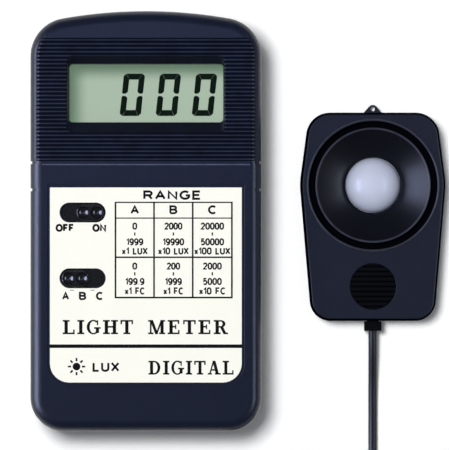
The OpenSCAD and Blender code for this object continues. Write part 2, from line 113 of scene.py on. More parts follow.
lead_route = [
    (71, -34.4, 4.2), (71, -37, 4.2), (71, -41, 3.9), (71, -46, 3), (71, -51, 2.1), (71, -56, 1.6),
    (71, -62, 1.4), (71, -68, 1.4), (71, -74, 1.4), (71, -80, 1.4), (71, -86, 1.4), (71, -91, 1.4),
]
tail_route = [
    (46, -116.9, 4.2), (43, -116.9, 4.2), (38, -116.9, 3.8), (33, -116.9, 2.9), (28, -116.1, 2),
    (23, -114.9, 1.6), (18.5, -113.9, 2), (14.5, -113, 3.1), (11, -112.8, 4.2), (7, -112.8, 4.2),
]


def ease(t):
    """Smooth step from 0 to 1."""
    t = min(1, max(0, t))
    return t * t * (3 - 2 * t)


def coil_point(turns):
    """A point on the coil: four turns inward on the surface, and the rest outward on top of them."""
    lower = turns < layer_turns
    t = turns if lower else 2 * layer_turns - turns
    lap = min(int(t), layer_turns - 1)
    inward = lap + (ease((t - lap - 0.8) / 0.2) if lap < layer_turns - 1 else 0)
    if t < 0:
        inward = 0
    radius = coil_outer - cord_d * inward
    z = cord_z + cord_d * ease((turns - layer_turns + 0.15) / 0.3)
    a = -2 * pi * turns
    return (coil_x + radius * cos(a), coil_y + radius * sin(a), z)


last_turn = 2 * layer_turns + 0.25
coil_steps = int(last_turn * steps_a_turn)
coil_route = [coil_point(i / steps_a_turn) for i in range(coil_steps + 1)]
cord_route = lead_route + coil_route + tail_route

cord_curve = bpy.data.curves.new("sensor_cord", "CURVE")
cord_curve.dimensions = "3D"
cord_curve.bevel_depth = (cord_d / 2 - skin_gap) * MM
cord_curve.bevel_resolution = 6
cord_curve.resolution_u = 4
cord_curve.use_fill_caps = True
spline = cord_curve.splines.new("BEZIER")
spline.bezier_points.add(len(cord_route) - 1)
for knot, spot in zip(spline.bezier_points, cord_route):
    knot.co = Vector(spot) * MM
    knot.handle_left_type = knot.handle_right_type = "AUTO"
cord = bpy.data.objects.new("sensor_cord", cord_curve)
bpy.context.scene.collection.objects.link(cord)


# ---------------- mesh helpers


def mesh_object(name, points, faces):
    """A new object from points, with its faces turned outward."""
    mesh = bpy.data.meshes.new(name)
    mesh.from_pydata([Vector(p) for p in points], [], faces)
    bm = bmesh.new()
    bm.from_mesh(mesh)
    bmesh.ops.recalc_face_normals(bm, faces=bm.faces)
    bm.to_mesh(mesh)
    bm.free()
    made = bpy.data.objects.new(name, mesh)
    bpy.context.scene.collection.objects.link(made)
    return made


def hull_outline(discs, steps):
    """Hull of discs (x, y, r), listed counter-clockwise, as (x, y, r, angle) for each of its points."""
    turns = []
    for (x1, y1, r1), (x2, y2, r2) in zip(discs, discs[1:] + discs[:1]):
        lean = max(-1, min(1, (r1 - r2) / hypot(x2 - x1, y2 - y1)))
        turns.append(atan2(y2 - y1, x2 - x1) - acos(lean))
    points = []
    for i, (x, y, r) in enumerate(discs):
        start = turns[i - 1]
        sweep = (turns[i] - start + 1e-6) % (2 * pi) - 1e-6
        for k in range(steps + 1):
            a = start + sweep * k / steps
            here = Vector((x + r * cos(a), y + r * sin(a)))
            if points and (here - last).length < 1e-4:
                continue
            points.append((x, y, r, a))
            last = here
    return points


def ring(outline, inset, z, at=(0, 0)):
    return [(at[0] + x + (r - inset) * cos(a), at[1] + y + (r - inset) * sin(a), z)
            for x, y, r, a in outline]


def loft(name, rings):
    """Closed solid through rings of equally many points."""
    n = len(rings[0])
    points = [p for one in rings for p in one]
    faces = [(i * n + k, i * n + (k + 1) % n, (i + 1) * n + (k + 1) % n, (i + 1) * n + k)
             for i in range(len(rings) - 1) for k in range(n)]
    faces += [tuple(range(n - 1, -1, -1)), tuple(range(len(points) - n, len(points)))]
    return mesh_object(name, points, faces)


def stack(name, outline, levels, at=(0, 0)):
    """Closed solid through one outline, drawn in by each level's inset at its height."""
    return loft(name, [ring(outline, inset, z, at) for inset, z in levels])


def round_top(inset, top, radius, steps=8):
    """Levels round a top edge, from the wall up."""
    return [(inset + radius * (1 - cos(a)), top - radius + radius * sin(a))
            for a in [pi / 2 * k / steps for k in range(steps + 1)]]


def round_bottom(inset, bottom, radius, steps=8):
    """Levels round a bottom edge, from the flat up."""
    return [(inset + radius * (1 - sin(a)), bottom + radius * (1 - cos(a)))
            for a in [pi / 2 * k / steps for k in range(steps + 1)]]


def turned(name, profile, origin, along=(0, 0, 1), steps=96):
    """Solid turned about an axis from (radius, distance) pairs; it closes on the axis or on itself."""
    turn = Vector((0, 0, 1)).rotation_difference(Vector(along))
    on_axis = profile[0][0] == 0 and profile[-1][0] == 0
    body = profile[1:-1] if on_axis else profile
    points = [turn @ Vector((r * cos(a), r * sin(a), h)) + Vector(origin)
              for r, h in body
              for a in [2 * pi * k / steps for k in range(steps)]]
    count = len(body)
    spans = count - 1 if on_axis else count
    faces = [(i * steps + k, i * steps + (k + 1) % steps,
              (i + 1) % count * steps + (k + 1) % steps, (i + 1) % count * steps + k)
             for i in range(spans) for k in range(steps)]
    if on_axis:
        for h, first in ((profile[0][1], 0), (profile[-1][1], (count - 1) * steps)):
            points.append(turn @ Vector((0, 0, h)) + Vector(origin))
            faces += [(len(points) - 1, first + k, first + (k + 1) % steps) for k in range(steps)]
    return mesh_object(name, points, faces)


def rod(name, x, y, radius, z0, z1, steps=48):
    return turned(name, [(0, z0), (radius, z0), (radius, z1), (0, z1)], (x, y, 0), steps=steps)


def block(name, x, y, z):
    points = [(a, b, c) for a in x for b in y for c in z]
    faces = [(0, 1, 3, 2), (4, 6, 7, 5), (0, 4, 5, 1), (2, 3, 7, 6), (0, 2, 6, 4), (1, 5, 7, 3)]
    return mesh_object(name, points, faces)


def carve(solid, cutter, operation="DIFFERENCE"):
    """Cuts the cutter from the solid, or joins or keeps it, and removes the cutter."""
    step = solid.modifiers.new("carve", "BOOLEAN")
    step.operation = operation
    step.object = cutter
    step.solver = "EXACT"
    graph = bpy.context.evaluated_depsgraph_get()
    old = solid.data
    solid.data = bpy.data.meshes.new_from_object(solid.evaluated_get(graph))
    solid.modifiers.clear()
    bpy.data.meshes.remove(old)
    bpy.data.objects.remove(cutter)


def join(name, parts):
    """One object from several."""
    bm = bmesh.new()
    for part in parts:
        bm.from_mesh(part.data)
        bpy.data.objects.remove(part)
    mesh = bpy.data.meshes.new(name)
    bm.to_mesh(mesh)
    bm.free()
    made = bpy.data.objects.new(name, mesh)
    bpy.context.scene.collection.objects.link(made)
    return made


def smooth(piece, limit=32):
    """Smooth shading that breaks at edges sharper than the limit, in degrees, and keeps flat faces flat."""
    bm = bmesh.new()
    bm.from_mesh(piece.data)
    for face in bm.faces:
        face.smooth = True
    for edge in bm.edges:
        edge.smooth = len(edge.link_faces) == 2 and edge.calc_face_angle(0) < radians(limit)
    bm.to_mesh(piece.data)
    bm.free()
    weights = piece.modifiers.new("normals", "WEIGHTED_NORMAL")
    weights.keep_sharp = True
    weights.weight = 90


def tidy(piece):
    """Clears the slivers that carving leaves."""
    bm = bmesh.new()
    bm.from_mesh(piece.data)
    bmesh.ops.remove_doubles(bm, verts=bm.verts, dist=0.002)
    bmesh.ops.dissolve_degenerate(bm, edges=bm.edges, dist=0.002)
    bm.to_mesh(piece.data)
    bm.free()


def complete(piece, body, slot, finish, *replaced, limit=32):
    """Clears slivers from a carved piece, shades it and places it."""
    tidy(piece)
    smooth(piece, limit)
    place(piece, body, slot, finish, *replaced)


def paint(piece, finishes, pick):
    """Adds finishes to a placed piece; pick turns a face's middle, in mm, and its normal into an index."""
    for finish in finishes:
        piece.data.materials.append(finish)
    for face in piece.data.polygons:
        face.material_index = pick(face.center / MM, face.normal)


def place(piece, body, slot, finish, *replaced):
    """The piece goes to metres, rides on a body, takes a material, and stands for CAD nodes; the slot is not
    used.
    """
    piece.data.transform(Matrix.Scale(MM, 4))
    piece.data.materials.clear()
    piece.data.materials.append(finish)
    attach(piece, body)
    if replaced:
        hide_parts(*replaced)


# ---------------- materials


def linear(r, g, b):
    """Linear colour from 0 to 255 display values."""
    return tuple((c / 12.92 if c <= 0.04045 else ((c + 0.055) / 1.055) ** 2.4)
                 for c in (r / 255, g / 255, b / 255)) + (1,)


def shade(colour, k):
    return tuple(min(1, c * k) for c in colour[:3]) + (1,)


def add_node(tree, kind, **values):
    """A new node, with its inputs set by name; an underscore stands for a space."""
    made = tree.nodes.new("ShaderNode" + kind)
    for key, value in values.items():
        made.inputs[key.replace("_", " ")].default_value = value
    return made


def surface(name, colour, rough=0.4, spread=0.06, vary=0.12, cell=6, grain=0.25, depth=0.01, metallic=0,
            specular=0.5, coat=0, coat_rough=0.1, alpha=1, stretch=(1, 1, 1), second=None):
    """Moulded or plated surface: slow colour change over cell mm, and fine grain in colour and relief."""
    made = bpy.data.materials.new(name)
    made.use_nodes = True
    tree = made.node_tree
    link = tree.links.new
    shader = tree.nodes["Principled BSDF"]
    for key, value in (("Metallic", metallic), ("Specular IOR Level", specular), ("Coat Weight", coat),
                       ("Coat Roughness", coat_rough), ("Alpha", alpha)):
        shader.inputs[key].default_value = value
    where = add_node(tree, "TexCoord")
    scale = add_node(tree, "Mapping", Scale=stretch)
    slow = add_node(tree, "TexNoise", Scale=1 / (cell * MM), Detail=4)
    fine = add_node(tree, "TexNoise", Scale=1 / (grain * MM), Detail=3)
    link(where.outputs["Object"], scale.inputs["Vector"])
    for noise in (slow, fine):
        link(scale.outputs["Vector"], noise.inputs["Vector"])
    colours = add_node(tree, "ValToRGB")
    for stop, position, tone in zip(colours.color_ramp.elements, (0.3, 0.7),
                                    (shade(colour, 1 - vary), shade(second or colour, 1 + vary))):
        stop.position = position
        stop.color = tone
    fine_share = 0.35
    both = add_node(tree, "Math")
    both.operation = "MULTIPLY_ADD"
    both.inputs[1].default_value = fine_share
    link(fine.outputs["Fac"], both.inputs[0])
    link(slow.outputs["Fac"], both.inputs[2])
    shift = add_node(tree, "Math")
    shift.operation = "SUBTRACT"
    shift.inputs[1].default_value = fine_share / 2
    link(both.outputs[0], shift.inputs[0])
    link(shift.outputs[0], colours.inputs["Fac"])
    link(colours.outputs["Color"], shader.inputs["Base Color"])
    polish = add_node(tree, "MapRange", From_Min=0.3, From_Max=0.7, To_Min=max(0.02, rough - spread),
                      To_Max=min(1, rough + spread))
    link(fine.outputs["Fac"], polish.inputs["Value"])
    link(polish.outputs["Result"], shader.inputs["Roughness"])
    bump = add_node(tree, "Bump", Distance=depth * MM, Strength=1)
    link(fine.outputs["Fac"], bump.inputs["Height"])
    link(bump.outputs["Normal"], shader.inputs["Normal"])
    return made


navy = surface("case_plastic", linear(9, 16, 37), rough=0.36, cell=9, grain=0.35, depth=0.012, vary=0.1)
head_navy = surface("head_plastic", linear(12, 17, 34), rough=0.42, cell=9, grain=0.35, depth=0.014,
                    vary=0.1)
# Painted highlight: a lighter grey on the lip and the dish rim stands for thin bright lines of light.
painted_rim_highlight = surface("rim_highlight_plastic", linear(44, 46, 58), rough=0.45, cell=4, vary=0.3)
# Painted highlight: a lighter navy on the up-facing slope of the long groove.
slope_painted_highlight = surface("slope_highlight_plastic", linear(78, 82, 106), rough=0.5, cell=3, vary=0.2)
# Painted light: a lighter navy on the rib tops.
rib_crest_painted_light = surface("rib_crest_lit_plastic", linear(27, 34, 58), rough=0.4, cell=5, vary=0.35, depth=0.012)
# Painted shade: a darker navy between the ribs and on the window's sloped sides.
groove_painted_shade = surface("groove_shaded_plastic", linear(5, 9, 22), rough=0.5, cell=5, vary=0.3, specular=0.3)
# Painted shade: near-black without shine on the head's side wall, the dish's sunk ledge and the grooves of
# the rubber pad.
painted_shade_black = surface("painted_shade_plastic", linear(4, 5, 9), rough=0.6, depth=0.008, specular=0)
back_navy = surface("back_plastic", linear(21, 24, 40), rough=0.5, cell=7, grain=0.5, depth=0.03)
knob_black = surface("knob_black", linear(8, 8, 12), rough=0.25, spread=0.05, depth=0.004, coat=1)
cream = surface("label_foil", linear(250, 249, 240), rough=0.45, vary=0.02, cell=12, depth=0.003,
                second=linear(248, 247, 236))
ink = surface("label_ink", linear(8, 8, 10), rough=0.55, vary=0.25, cell=1.5, depth=0.004, specular=0.15)
grey_ink = surface("grey_ink", linear(150, 150, 148), rough=0.55, cell=1.5, depth=0.004, specular=0.3)
digit_ink = surface("digit_ink", linear(7, 16, 11), rough=0.6, vary=0.15, cell=2, depth=0.001,
                    specular=0.02)
pane = surface("clear_pane", linear(60, 80, 66), rough=0.06, spread=0.02, vary=0.02, depth=0.0005,
               specular=0.3, alpha=0.03)
bezel = surface("bezel_plastic", linear(40, 44, 50), rough=0.5)
dark_rubber = surface("dark_rubber", linear(20, 20, 22), rough=0.65, grain=0.2, depth=0.02)
pad_rubber = surface("pad_rubber", linear(9, 10, 13), rough=0.6, grain=0.2, depth=0.02, specular=0.04)
cord_rubber = surface("cord_rubber", linear(8, 11, 17), rough=0.4, grain=0.3, depth=0.012)
steel = surface("steel", linear(172, 174, 178), rough=0.32, metallic=1, grain=0.12, cell=2,
                depth=0.006, stretch=(1, 8, 1))
tin = surface("tinned_metal", linear(190, 192, 196), rough=0.28, metallic=1, cell=1.5, depth=0.004)
brass = surface("brass", linear(205, 172, 96), rough=0.3, metallic=1, cell=1.5, depth=0.004,
                second=linear(190, 150, 80))
chrome = surface("plug_metal", linear(212, 213, 216), rough=0.12, spread=0.04, metallic=1, grain=0.1,
                 depth=0.002, stretch=(12, 1, 1))
chip_epoxy = surface("chip_epoxy", linear(26, 26, 29), rough=0.6, grain=0.1, depth=0.008)
blue_plastic = surface("trimmer_blue", linear(34, 88, 165), rough=0.4)
ivory = surface("trimmer_screw", linear(228, 220, 198), rough=0.45)
film_red = surface("film_red", linear(165, 60, 40), rough=0.25, coat=0.4)
can_blue = surface("can_sleeve", linear(26, 44, 78), rough=0.3, coat=0.3)
resistor_tan = surface("resistor_tan", linear(196, 164, 118), rough=0.4, second=linear(180, 140, 96),
                       cell=1.2, vary=0.2)
jacket = surface("battery_jacket", linear(38, 38, 42), rough=0.3, metallic=0.6, cell=8,
                 second=linear(56, 56, 62))
red_vinyl = surface("red_wire", linear(170, 30, 24), rough=0.4, depth=0.006)
black_vinyl = surface("black_wire", linear(16, 16, 18), rough=0.42, depth=0.006)
foam = surface("foam", linear(60, 60, 64), rough=0.95, grain=0.5, cell=1.5, depth=0.25, vary=0.3,
               specular=0.1)
board = surface("board_laminate", linear(28, 96, 52), rough=0.3, cell=2.5, grain=0.4, vary=0.25,
                coat=0.3, second=linear(40, 120, 64))
dish_black = surface("dish_black", linear(8, 10, 18), rough=0.33, spread=0.05, grain=0.3, depth=0.006,
                     specular=0.25)
dome_white = surface("dome_white", linear(194, 200, 222), rough=0.5, vary=0.02, cell=5, grain=0.4,
                     depth=0.004, coat=0.3, coat_rough=0.22)
filter_green = surface("filter_green", linear(120, 172, 128), rough=0.1, alpha=0.5)
diode = surface("diode_dark", linear(42, 44, 74), rough=0.12, spread=0.04, coat=0.5)
plug_black = surface("plug_black", linear(18, 18, 20), rough=0.3, depth=0.006, coat=0.2)


def display_green_painted_shade():
    """Reflective display: grey-green, with painted shade that makes it darker and greener towards its top and
    left edges, under the walls of its opening.
    """
    made = surface("lcd_cell", linear(176, 193, 172), rough=0.35, vary=0.03, cell=7, grain=0.3, depth=0.0008,
                   second=linear(170, 190, 168), specular=0.3)
    tree = made.node_tree
    shader = tree.nodes["Principled BSDF"]
    base = shader.inputs["Base Color"].links[0].from_socket
    where = add_node(tree, "TexCoord")
    split = add_node(tree, "SeparateXYZ")
    tree.links.new(where.outputs["Object"], split.inputs[0])
    # Painted shade: the colour fades to a darker green near the top and left edges.
    for axis, low, high, at_low, at_high in (("Y", 43.2, 48.6, 0, 1), ("X", -24.2, -17.6, 1, 0)):
        fade = add_node(tree, "MapRange", From_Min=low * MM, From_Max=high * MM, To_Min=at_low,
                        To_Max=at_high)
        fade.interpolation_type = "SMOOTHSTEP"
        tree.links.new(split.outputs[axis], fade.inputs["Value"])
        mix = tree.nodes.new("ShaderNodeMix")
        mix.data_type = "RGBA"
        mix.inputs["B"].default_value = linear(100, 126, 100)
        tree.links.new(fade.outputs["Result"], mix.inputs["Factor"])
        tree.links.new(base, mix.inputs["A"])
        base = mix.outputs["Result"]
    tree.links.new(base, shader.inputs["Base Color"])
    return made


lcd_cell = display_green_painted_shade()

finish_of_slot = {
    "case_plastic": back_navy, "head_plastic": back_navy, "steel_screw": steel, "label_print": cream,
    "clear_pane": pane, "bezel_plastic": bezel, "lcd_cell": lcd_cell, "strip_rubber": dark_rubber,
    "board_laminate": board, "switch_metal": tin, "knob_black": knob_black, "chip_black": chip_epoxy,
    "tinned_leg": tin, "trimmer_blue": blue_plastic, "trimmer_screw": ivory, "film_red": film_red,
    "can_sleeve": can_blue, "resistor_tan": resistor_tan, "jack_black": plug_black, "contact_brass": brass,
    "battery_shell": jacket, "terminal_metal": tin, "snap_vinyl": dark_rubber, "red_wire": red_vinyl,
    "black_wire": black_vinyl, "foam": foam, "dish_black": dish_black, "dome_white": dome_white,
    "filter_green": filter_green, "diode_dark": diode, "pad_rubber": pad_rubber, "gland_black": pad_rubber,
    "cord_black": cord_rubber, "plug_black": plug_black, "plug_metal": chrome,
}


# ---------------- CAD nodes that stay

slot_of_node = {part["node"]: part["material_slot"] for part in frame["record"]["subparts"]}
bevels = {
    "battery": 0.4, "battery_snap": 0.5, "thumb_pad": 0.12, "cable_gland": 0.35, "cord_tie": 0.3,
    "plug_cover": 0.3, "plug_sleeve": 0.12, "plug_tip": 0.1, "case_screws": 0.12, "head_screws": 0.1,
    "converter_chip": 0.2, "amplifier_chip": 0.2, "film_capacitors": 0.4, "lcd_bezel": 0.15,
}
for name, node in nodes.items():
    node.data.materials.clear()
    node.data.materials.append(finish_of_slot[slot_of_node[name]])
    if name in bevels:
        weld = node.modifiers.new("weld", "WELD")
        weld.merge_threshold = 1e-6
        bevel = node.modifiers.new("bevel", "BEVEL")
        bevel.width = bevels[name] * MM
        bevel.segments = 3
        bevel.limit_method = "ANGLE"
        bevel.angle_limit = radians(35)
        node.modifiers.new("normals", "WEIGHTED_NORMAL").weight = 90
        for face in node.data.polygons:
            face.use_smooth = True


# ---------------- shells of the display unit

foot_r = 10.5
crown_r = 150
corner_r = 12
front_edge_r = 3.6
back_edge_r = 2.4
wall = 2.2
floor_t = 2.4
ceiling_z = case_top - wall
case_lean = asin((case_half_w - corner_r) / (crown_r - corner_r))
corner_y = case_half_l - crown_r + (crown_r - corner_r) * cos(case_lean)
case_discs = [
    (foot_r - case_half_w, foot_r - case_half_l, foot_r),
    (case_half_w - foot_r, foot_r - case_half_l, foot_r),
    (case_half_w - corner_r, corner_y, corner_r), (0, case_half_l - crown_r, crown_r),
    (corner_r - case_half_w, corner_y, corner_r),
]
case_outline = hull_outline(case_discs, 20)
case_screws = [(-27.5, 57), (27.5, 57), (-29.5, -56), (29.5, -56)]
board_screws = [(-29, 22.5), (29, 22.5), (-28, -26.5), (28, -26.5)]
board_top = box_mm("main_board")[1].z
wrap_ys = (18.3, 9.8)
groove_w = 0.9
groove_d = 0.5
jack_mouth = [(0, -5), (3, -5), (3, 1), (0, 1)]

front = stack("front_shell", case_outline,
              [(0.15, split_z), (0, split_z + 0.15)] + round_top(0, case_top, front_edge_r, 14))
carve(front, stack("cut", case_outline, [(wall, split_z - 1), (wall, ceiling_z - 1),
                                         (wall + 0.6, ceiling_z)]))
for x, y in case_screws:
    carve(front, rod("cut", x, y, 3.1, split_z + 0.1, ceiling_z + 0.5), "UNION")
    carve(front, rod("cut", x, y, 1.25, split_z - 1, 21))
for x, y in board_screws:
    carve(front, rod("cut", x, y, 2.1, board_top, ceiling_z + 0.5), "UNION")
    carve(front, rod("cut", x, y, 0.95, board_top - 1, 21))


def rounded_rectangle(w, l, y, r, z, steps=6):
    corners = [(w / 2 - r, y + l / 2 - r, 0), (r - w / 2, y + l / 2 - r, 90),
               (r - w / 2, y - l / 2 + r, 180), (w / 2 - r, y - l / 2 + r, 270)]
    return [(cx + r * cos(a), cy + r * sin(a), z) for cx, cy, start in corners
            for a in [radians(start + 90 * k / steps) for k in range(steps + 1)]]


# Opening over the display, with sloped sides and a small round at the face
window_y = 39.45
window_w = 49
window_l = 23.7
seen_w = 48.2
seen_l = 18.3
seen_y = 39.95
window_levels = [(seen_w, seen_l, seen_y, 1.2, z) for z in (ceiling_z - 1, ceiling_z + 0.1)]
window_levels += [(window_w + grow, window_l + grow_l, window_y, r, case_top + z) for grow, grow_l, r, z in
                  ((0, 0, 1.9, -0.55), (0.15, 0.2, 1.95, -0.3), (0.45, 0.5, 2.1, -0.12), (0.9, 1, 2.3, 0.02),
                   (1.9, 2, 2.8, 0.3))]
carve(front, loft("cut", [rounded_rectangle(*level) for level in window_levels]))

# Ribbed field: one comb whose lower side is a wave; it runs out on the rounded edge
rib_pitch = 1.24
rib_depth = 0.5
rib_count = 31
rib_top = 57.1
steps_a_rib = 10


def rib_wave(y):
    """Height of the ribbed face: flat-topped ribs with narrow grooves between them."""
    phase = ((rib_top - y) / rib_pitch) % 1
    return case_top - 0.02 - rib_depth * (0.5 + 0.5 * cos(2 * pi * phase)) ** 1.4


wave = [rib_top - i * rib_pitch / steps_a_rib for i in range(rib_count * steps_a_rib + 1)]
section = [(y, rib_wave(y)) for y in wave] + [(wave[-1], case_top + 2), (wave[0], case_top + 2)]
carve(front, loft("cut", [[(side * (case_half_w + 2), y, z) for y, z in section] for side in (-1, 1)]))


# Grooves that wrap the case: one goes all the way across, the other only over the two rounded edges
flat_half = case_half_w - front_edge_r
groove_floor = case_top - groove_d
groove_in = [(case_half_w - groove_d, split_z - 1)]
groove_in += [(case_half_w - groove_d - inset, z)
              for inset, z in round_top(0, groove_floor, front_edge_r - groove_d, 8)]
groove_out = [(case_half_w + 1, case_top + 1), (case_half_w + 1, split_z - 1)]


def across(path, y):
    """Cutter for a groove, from its section over the case."""
    return loft("cut", [[(x, y + half, z) for x, z in path] for half in (-groove_w / 2, groove_w / 2)])


mirrored = [(-x, z) for x, z in reversed(groove_in)]
whole = (groove_in + mirrored + [(-case_half_w - 1, split_z - 1), (-case_half_w - 1, case_top + 1)]
         + groove_out)
carve(front, across(whole, wrap_ys[0]))
wrap_low = wrap_ys[0] - groove_w / 2
slope_in = wrap_low + 0.2  # the lower side of the long groove slopes up to the face
slope_out = wrap_low - 0.42
slope = [(slope_in, groove_floor), (slope_in, case_top + 0.2), (slope_out, case_top + 0.2),
         (slope_out, case_top - 0.02)]
carve(front, loft("cut", [[(side * flat_half, y, z) for y, z in slope] for side in (-1, 1)]))
edge_only = groove_in + [(flat_half, groove_floor), (flat_half, case_top + 1)] + groove_out
for side in (-1, 1):
    carve(front, across([(side * x, z) for x, z in edge_only], wrap_ys[1]))

# Shallow recess of the label, and the slots of the two switches
label_r = 6
label_w = label_high.x - label_low.x


def label_shape(grow, z):
    """Outline with square corners at the top and round ones at the bottom."""
    half = label_w / 2 + grow
    low, high = label_low.y - grow, label_high.y + grow
    r = label_r + grow
    arc = [radians(90 * k / 8) for k in range(9)]
    left = [(r - half - r * cos(a), low + r - r * sin(a), z) for a in arc]
    right = [(half - r + r * sin(a), low + r - r * cos(a), z) for a in arc]
    return left + right + [(half, high, z), (-half, high, z)]


recess_z = label_low.z
carve(front, loft("cut", [label_shape(grow, z) for grow, z in
                          ((0.75, recess_z), (0.8, case_top - 0.1), (0.9, case_top), (1, case_top + 1))]))
slot_l = 14
slot_w = 5.8
switch_x = -19.7
switch_ys = (2.7, -17.8)


def stadium(l, w, steps=20):
    return hull_outline([((w - l) / 2, 0, w / 2), ((l - w) / 2, 0, w / 2)], steps)


for y in switch_ys:
    carve(front, stack("cut", stadium(slot_l, slot_w), [(0, ceiling_z - 1), (0, case_top)], (switch_x, y)))
carve(front, turned("cut", jack_mouth, (0, case_half_l, split_z), (0, 1, 0)))
complete(front, "meter", "case_plastic", navy, "front_case")
rib_bottom = rib_top - rib_pitch * rib_count


def front_finish(middle, normal):
    """1: painted highlight on the sloped side of the long groove; 2: painted light on the rib tops; 3:
    painted shade lower between the ribs and on the window's sides.
    """
    x, y, z = middle
    in_window = abs(x) < window_w / 2 + 0.6 and abs(y - window_y) < window_l / 2 + 0.45
    if in_window and case_top - 4 < z < case_top - 0.2 and abs(normal.z) < 0.97:
        return 3
    if slope_out - 0.18 < y < slope_in + 0.05 and z > groove_floor and normal.y > 0.2:
        return 1
    if rib_bottom < y < rib_top and case_top - rib_depth - 0.1 < z < case_top - 0.005:
        return 2 if z > case_top - rib_depth * 0.3 else 3
    return 0


paint(front, (slope_painted_highlight, rib_crest_painted_light, groove_painted_shade), front_finish)

# The label is punched from foil, so its edge is soft
label_cut = [label_shape(0, label_low.z), label_shape(0, label_high.z - 0.08),
             label_shape(-0.08, label_high.z)]
label = loft("label_foil", label_cut)
for y in switch_ys:
    slot = stadium(slot_l + 0.4, slot_w + 0.4)
    carve(label, stack("cut", slot, [(0, label_low.z - 1), (0, case_top)], (switch_x, y)))
smooth(label)
place(label, "meter", "label_print", cream, "face_label")

# Rear shell: screw wells, the battery room's partition and the channel of its cover
cover_high = box_mm("battery_cover")[1]
cover_half = 24
flange_half = cover_high.x
cover_step = 1.2
cover_end = cover_high.y
gap = 0.2


def cover_section(grow, top):
    """Section of the cover and its two flanges, grown for the channel that it slides in."""
    half, flange, step = cover_half + grow, flange_half + grow, cover_step - grow / 2
    return [(-half, -1), (half, -1), (half, step), (flange, step), (flange, top),
            (-flange, top), (-flange, step), (-half, step)]


rear = stack("rear_shell", case_outline, round_bottom(0, 0, back_edge_r)
             + [(0, split_z - 0.15), (0.15, split_z)])
carve(rear, stack("cut", case_outline, [(wall + 0.6, floor_t), (wall, floor_t + 1), (wall, split_z + 1)]))
for x, y in case_screws:
    carve(rear, rod("cut", x, y, 3.5, 1, split_z - 0.1), "UNION")
carve(rear, block("cut", (-34, 34), (-33.2, -31.8), (1, split_z - 0.1)), "UNION")
carve(rear, loft("cut", [[(x, y, z) for x, z in cover_section(gap, cover_high.z + gap + 0.1)]
                         for y in (-case_half_l - 1, cover_end + gap)]))
for y in wrap_ys:
    for side in (-1, 1):
        carve(rear, block("cut", sorted((side * (case_half_w - groove_d), side * (case_half_w + 1))),
                          (y - groove_w / 2, y + groove_w / 2), (-1, split_z + 1)))
for x, y in case_screws:
    well = [(0, -1), (3.9, -1), (3.0, 0.1), (2.9, 0.3), (2.9, 4), (1.6, 4), (1.6, split_z + 1),
            (0, split_z + 1)]
    carve(rear, turned("cut", well, (x, y, 0), steps=48))
carve(rear, turned("cut", jack_mouth, (0, case_half_l, split_z), (0, 1, 0)))
complete(rear, "meter", "case_plastic", back_navy, "rear_case")

cover = loft("cover_plate", [[(x, y, z) for x, z in cover_section(0, cover_high.z)]
                             for y in (-case_half_l - 1, cover_end)])
carve(cover, stack("cut", case_outline, round_bottom(0, 0, back_edge_r) + [(0, 5)]), "INTERSECT")
thumb_line = [(0, -9), (0.45, -9), (0.5, -8.9), (0.5, 8.9), (0.45, 9), (0, 9)]
for i in range(5):
    carve(cover, turned("cut", thumb_line, (0, -57.5 + 2 * i, 0.1), (1, 0, 0), 24))
complete(cover, "battery_cover", "case_plastic", back_navy, "battery_cover")


# ---------------- print on the label

print_low = label_high.z - 0.02
print_high = label_high.z + 0.03
ink_points = []
ink_faces = []


def ink_prism(outline):
    """Adds one flat shape to the print."""
    n = len(outline)
    first = len(ink_points)
    ink_points.extend((x, y, z) for z in (print_low, print_high) for x, y in outline)
    ink_faces.append(tuple(first + k for k in range(n - 1, -1, -1)))
    ink_faces.append(tuple(first + n + k for k in range(n)))
    ink_faces.extend((first + k, first + (k + 1) % n, first + n + (k + 1) % n, first + n + k)
                     for k in range(n))


def printed(name, finish):
    """Turns the shapes added so far into one piece of the label."""
    made = mesh_object(name, ink_points, ink_faces)
    place(made, "meter", "label_print", finish)
    ink_points.clear()
    ink_faces.clear()


def bar(x0, x1, y0, y1):
    ink_prism([(x0, y0), (x1, y0), (x1, y1), (x0, y1)])


def stroke_shape(path, w, closed):
    """Adds a stroke of one width along a path, with mitred corners."""
    path = [Vector(p) for p in path]
    n = len(path)
    left, right = [], []
    for i, here in enumerate(path):
        sides = []
        if closed or i > 0:
            sides.append((here - path[i - 1]).normalized().orthogonal())
        if closed or i < n - 1:
            sides.append((path[(i + 1) % n] - here).normalized().orthogonal())
        middle = sum(sides, Vector((0, 0))).normalized()
        offset = middle * (w / 2 / max(0.6, middle.dot(sides[0])))
        left.append(here + offset)
        right.append(here - offset)
    first = len(ink_points)
    for p, q in zip(left, right):
        ink_points.extend((side.x, side.y, z) for z in (print_high, print_low) for side in (p, q))
    for i in range(n if closed else n - 1):
        a, b = first + 4 * i, first + 4 * ((i + 1) % n)
        ink_faces.extend([(a, b, b + 1, a + 1), (a + 2, a + 3, b + 3, b + 2),
                          (a, a + 2, b + 2, b), (a + 1, b + 1, b + 3, a + 3)])
    if not closed:
        last = first + 4 * (n - 1)
        ink_faces.extend([(first, first + 1, first + 3, first + 2), (last, last + 2, last + 3, last + 1)])


def curve(cx, cy, rx, ry, start, end, steps=9):
    return [(cx + rx * cos(a), cy + ry * sin(a))
            for a in [radians(start + (end - start) * k / steps) for k in range(steps + 1)]]


def oval(w, y0=0, y1=1):
    """Upright oval with straight sides, as a closed path without its last point."""
    r, cy = w / 2, (y0 + y1) / 2
    straight = (y1 - y0) / 2 - r * 1.1
    return (curve(r, cy + straight, r, r * 1.1, 0, 180, 8) + curve(r, cy - straight, r, r * 1.1, 180, 360, 8))


